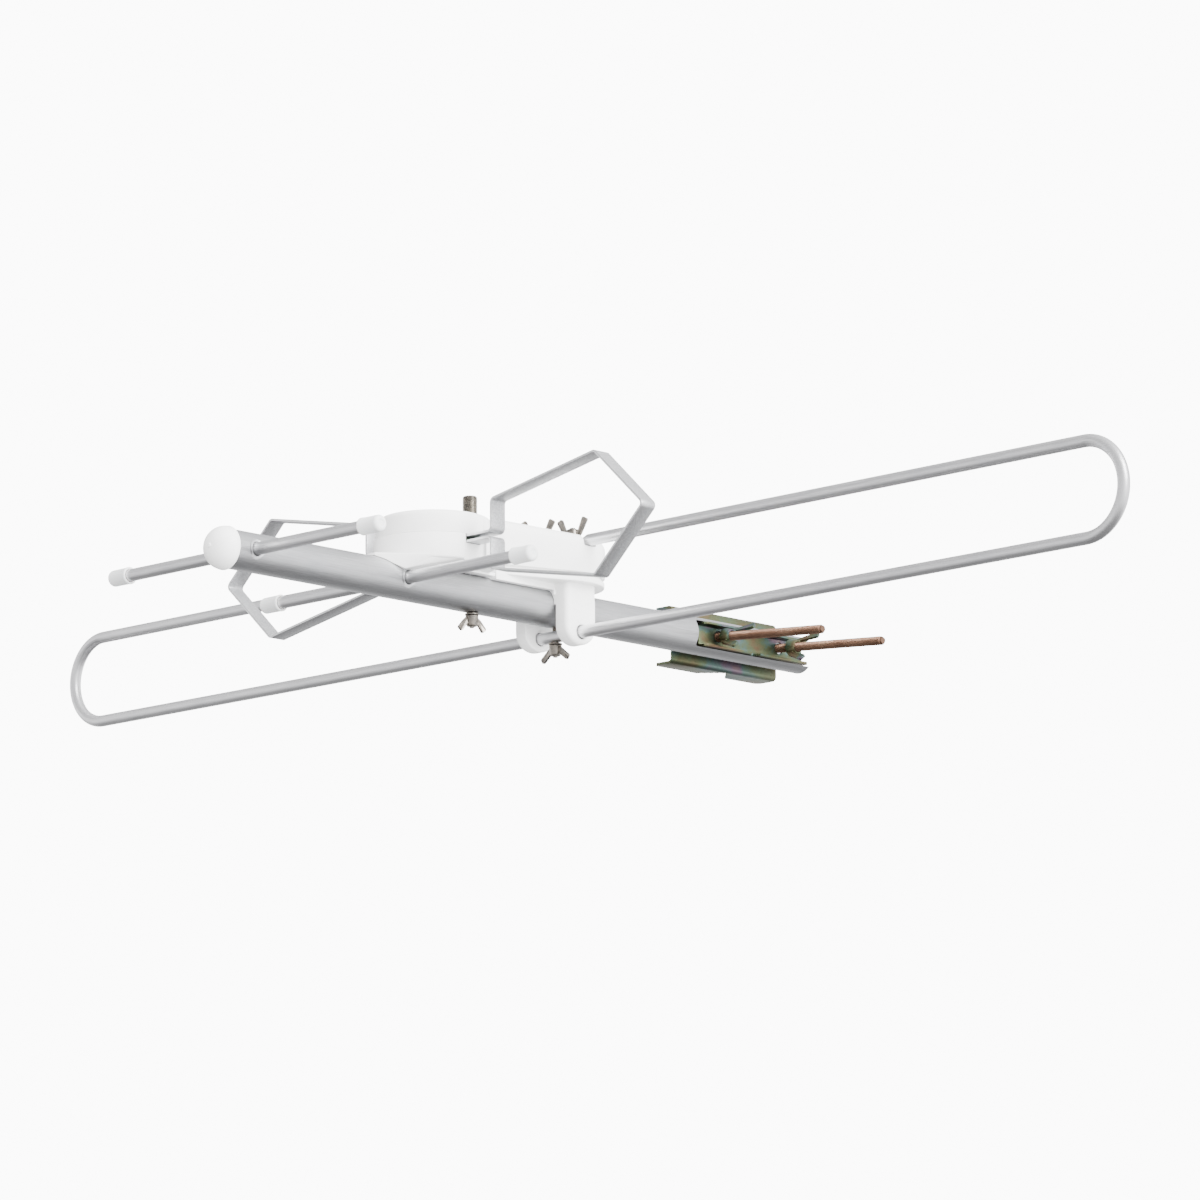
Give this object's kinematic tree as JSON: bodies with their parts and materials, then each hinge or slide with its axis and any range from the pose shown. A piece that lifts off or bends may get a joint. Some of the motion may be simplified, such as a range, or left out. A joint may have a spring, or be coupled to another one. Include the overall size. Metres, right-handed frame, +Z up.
{
  "type": "yagi antenna",
  "caption": "Yagi television antenna: rod directors, strip loop driven pair and a folded dipole on a round boom, with junction housings and a toothed mast clamp.",
  "frame": {"origin": "on the boom's axis, midway between the two mast clamp bolts", "axes": "+Y along the boom to its open rear end, +X along the elements, +Z up with the housings on top"},
  "size_m": [0.9678, 0.5376, 0.1004],
  "materials": {
    "aluminium_tube": "satin drawn aluminium tube",
    "aluminium_strip": "brushed flat strip",
    "white_plastic": "satin-gloss white moulding",
    "pale_plastic": "pale, slightly translucent moulding",
    "nickel": "nickel plated",
    "chromate": "yellow zinc chromate plated steel",
    "copper_zinc": "yellow zinc chromate plated thread",
    "circuit_board": "green laminate",
    "ferrite": "dark ferrite"
  },
  "bodies": {
    "antenna": {"boom_tube": "aluminium_tube", "boom_end_cap": "white_plastic", "director_1_rod": "aluminium_tube", "director_2_rod": "aluminium_tube", "director_1_cap_left": "pale_plastic", "director_1_cap_right": "pale_plastic", "director_2_cap_left": "pale_plastic", "director_2_cap_right": "pale_plastic", "strip_loop_left": "aluminium_strip", "strip_loop_right": "aluminium_strip", "loop_screw_left": "nickel", "loop_screw_right": "nickel", "junction_base": "white_plastic", "junction_cover": "white_plastic", "circuit_board": "circuit_board", "balun_core": "ferrite", "coax_socket": "nickel", "socket_nut": "nickel", "rear_bracket": "white_plastic", "rear_cover": "white_plastic", "dipole_left": "aluminium_tube", "dipole_right": "aluminium_tube", "feed_bolt_left": "nickel", "feed_bolt_right": "nickel", "feed_washer_left": "nickel", "feed_washer_right": "nickel", "front_bolt": "nickel", "front_washer": "nickel", "rear_bolt": "nickel", "rear_washer": "nickel", "clamp_insert": "chromate"},
    "jaw": {"clamp_jaw": "chromate", "clamp_bolt_1": "copper_zinc", "clamp_bolt_2": "copper_zinc"},
    "clamp_nut_1": {"clamp_wing_nut_1": "chromate"},
    "clamp_nut_2": {"clamp_wing_nut_2": "chromate"},
    "feed_nut_left": {"feed_wing_nut_left": "nickel"},
    "feed_nut_right": {"feed_wing_nut_right": "nickel"},
    "front_nut": {"front_wing_nut": "nickel"},
    "rear_nut": {"rear_wing_nut": "nickel"}
  },
  "joints": [
    {"name": "jaw_slide", "type": "slide", "parent": "antenna", "child": "jaw", "axis": [-0.9972, 0, 0.075], "range_m": [0, 0.005]},
    {"name": "clamp_nut_1_run", "type": "slide", "parent": "jaw", "child": "clamp_nut_1", "axis": [0.9972, 0, -0.075], "range_m": [0, 0.07]},
    {"name": "clamp_nut_2_run", "type": "slide", "parent": "jaw", "child": "clamp_nut_2", "axis": [0.9972, 0, -0.075], "range_m": [0, 0.065]},
    {"name": "feed_nut_left_turn", "type": "hinge", "parent": "antenna", "child": "feed_nut_left", "pos_m": [-0.016, -0.1785, 0.048], "axis": [0, 0, 1], "continuous": true},
    {"name": "feed_nut_right_turn", "type": "hinge", "parent": "antenna", "child": "feed_nut_right", "pos_m": [0.016, -0.1785, 0.048], "axis": [0, 0, 1], "continuous": true},
    {"name": "front_nut_turn", "type": "hinge", "parent": "antenna", "child": "front_nut", "pos_m": [0, -0.2545, -0.018], "axis": [0, 0, 1], "continuous": true},
    {"name": "rear_nut_turn", "type": "hinge", "parent": "antenna", "child": "rear_nut", "pos_m": [0, -0.1785, -0.027], "axis": [0, 0, 1], "continuous": true}
  ]
}
